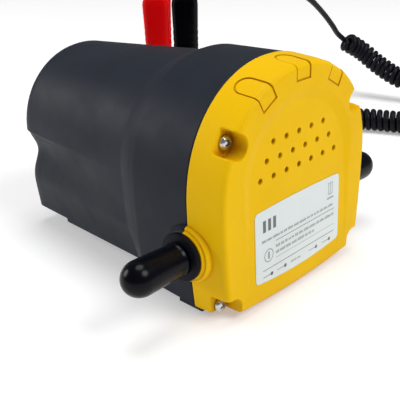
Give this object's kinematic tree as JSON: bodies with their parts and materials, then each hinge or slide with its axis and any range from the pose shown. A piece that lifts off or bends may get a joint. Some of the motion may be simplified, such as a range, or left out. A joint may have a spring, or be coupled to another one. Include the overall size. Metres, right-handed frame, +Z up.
{
  "type": "fluid transfer pump",
  "caption": "Battery-powered oil and diesel extractor pump: arched front cover with side hose ports, dark motor housing, curly lead and two battery clips.",
  "frame": {"origin": "bottom centre of the pump on the surface it stands on, measured without the lead and clips", "axes": "+Z up, the yellow cover faces -Y, the two hose ports point along -X and +X"},
  "size_m": [0.4122, 0.2111, 0.1404],
  "materials": {
    "yellow_plastic": "smooth injection-moulded ABS, warm yellow, satin gloss",
    "dark_plastic": "fine-textured charcoal ABS",
    "label_film": "printed light grey polyester film",
    "black_rubber": "black rubber and moulded black plastic",
    "gloss_vinyl": "glossy black dipped vinyl",
    "red_vinyl": "glossy red vinyl",
    "bright_steel": "zinc or nickel plated steel",
    "dark_steel": "plain steel",
    "cast_aluminium": "die-cast aluminium",
    "iron_core": "laminated iron",
    "copper": "enamelled copper wire and copper segments",
    "ferrite": "sintered ferrite",
    "carbon": "pressed carbon",
    "cord_jacket": "satin black flexible PVC jacket"
  },
  "bodies": {
    "pump": {"front_cover": "yellow_plastic", "info_label": "label_film", "cover_screw_upper_left": "bright_steel", "cover_screw_upper_right": "bright_steel", "cover_screw_lower_left": "bright_steel", "cover_screw_lower_right": "bright_steel", "motor_housing": "dark_plastic", "foot_front_left": "black_rubber", "foot_front_right": "black_rubber", "foot_rear_left": "black_rubber", "foot_rear_right": "black_rubber", "pump_body": "cast_aluminium", "pump_gasket": "black_rubber", "pump_plate": "cast_aluminium", "plate_screw_1": "dark_steel", "plate_screw_2": "dark_steel", "plate_screw_3": "dark_steel", "plate_screw_4": "dark_steel", "idler_pin": "bright_steel", "shaft_seal": "black_rubber", "port_nozzle_left": "black_rubber", "port_nozzle_right": "black_rubber", "motor_front_bell": "dark_steel", "front_bearing": "bright_steel", "motor_can": "dark_steel", "motor_rear_bell": "dark_steel", "rear_bearing": "bright_steel", "magnet_left": "ferrite", "magnet_right": "ferrite", "brush_left": "carbon", "brush_right": "carbon", "switch_body": "black_rubber", "cable_gland": "black_rubber", "cord_tail": "cord_jacket", "curly_cord": "cord_jacket", "cord_lead": "cord_jacket", "lead_splitter": "gloss_vinyl", "red_wire": "red_vinyl", "black_wire": "gloss_vinyl", "red_clip_back_lever": "bright_steel", "red_clip_back_boot": "red_vinyl", "red_clip_pin": "dark_steel", "red_clip_spring": "dark_steel", "black_clip_back_lever": "bright_steel", "black_clip_back_boot": "gloss_vinyl", "black_clip_pin": "dark_steel", "black_clip_spring": "dark_steel"},
    "rotor": {"motor_shaft": "bright_steel", "drive_gear": "dark_steel", "armature_core": "iron_core", "armature_winding": "copper", "commutator": "copper"},
    "idler": {"idler_gear": "dark_steel"},
    "rocker": {"switch_rocker": "red_vinyl"},
    "left_cap": {"port_cap_left": "gloss_vinyl"},
    "right_cap": {"port_cap_right": "gloss_vinyl"},
    "red_lever": {"red_clip_front_lever": "bright_steel", "red_clip_front_boot": "red_vinyl"},
    "black_lever": {"black_clip_front_lever": "bright_steel", "black_clip_front_boot": "gloss_vinyl"}
  },
  "joints": [
    {"name": "rotor_spin", "type": "hinge", "parent": "pump", "child": "rotor", "pos_m": [0, 0, 0.0516], "axis": [0, 1, 0], "continuous": true},
    {"name": "idler_spin", "type": "hinge", "parent": "pump", "child": "idler", "pos_m": [0, -0.06, 0.0316], "axis": [0, 1, 0], "continuous": true},
    {"name": "switch_tilt", "type": "hinge", "parent": "pump", "child": "rocker", "pos_m": [0, 0.0751, 0.0695], "axis": [1, 0, 0], "range_deg": [-16, 0]},
    {"name": "left_cap_pull", "type": "slide", "parent": "pump", "child": "left_cap", "axis": [-1, 0, 0], "range_m": [0, 0.035]},
    {"name": "right_cap_pull", "type": "slide", "parent": "pump", "child": "right_cap", "axis": [1, 0, 0], "range_m": [0, 0.035]},
    {"name": "red_clip_open", "type": "hinge", "parent": "pump", "child": "red_lever", "pos_m": [0.078, 0.0926, 0.0465], "axis": [-0.6947, 0.7193, 0], "range_deg": [0, 16], "stiffness_Nm_per_rad": 0.6, "springref_deg": -20.05, "deforming": ["red_clip_spring"]},
    {"name": "black_clip_open", "type": "hinge", "parent": "pump", "child": "black_lever", "pos_m": [0.0903, 0.0798, 0.0465], "axis": [-0.6947, 0.7193, 0], "range_deg": [0, 16], "stiffness_Nm_per_rad": 0.6, "springref_deg": -20.05, "deforming": ["black_clip_spring"]}
  ],
  "couplings": [
    {"joint": "idler_spin", "follows": "rotor_spin", "ratio": -1}
  ]
}
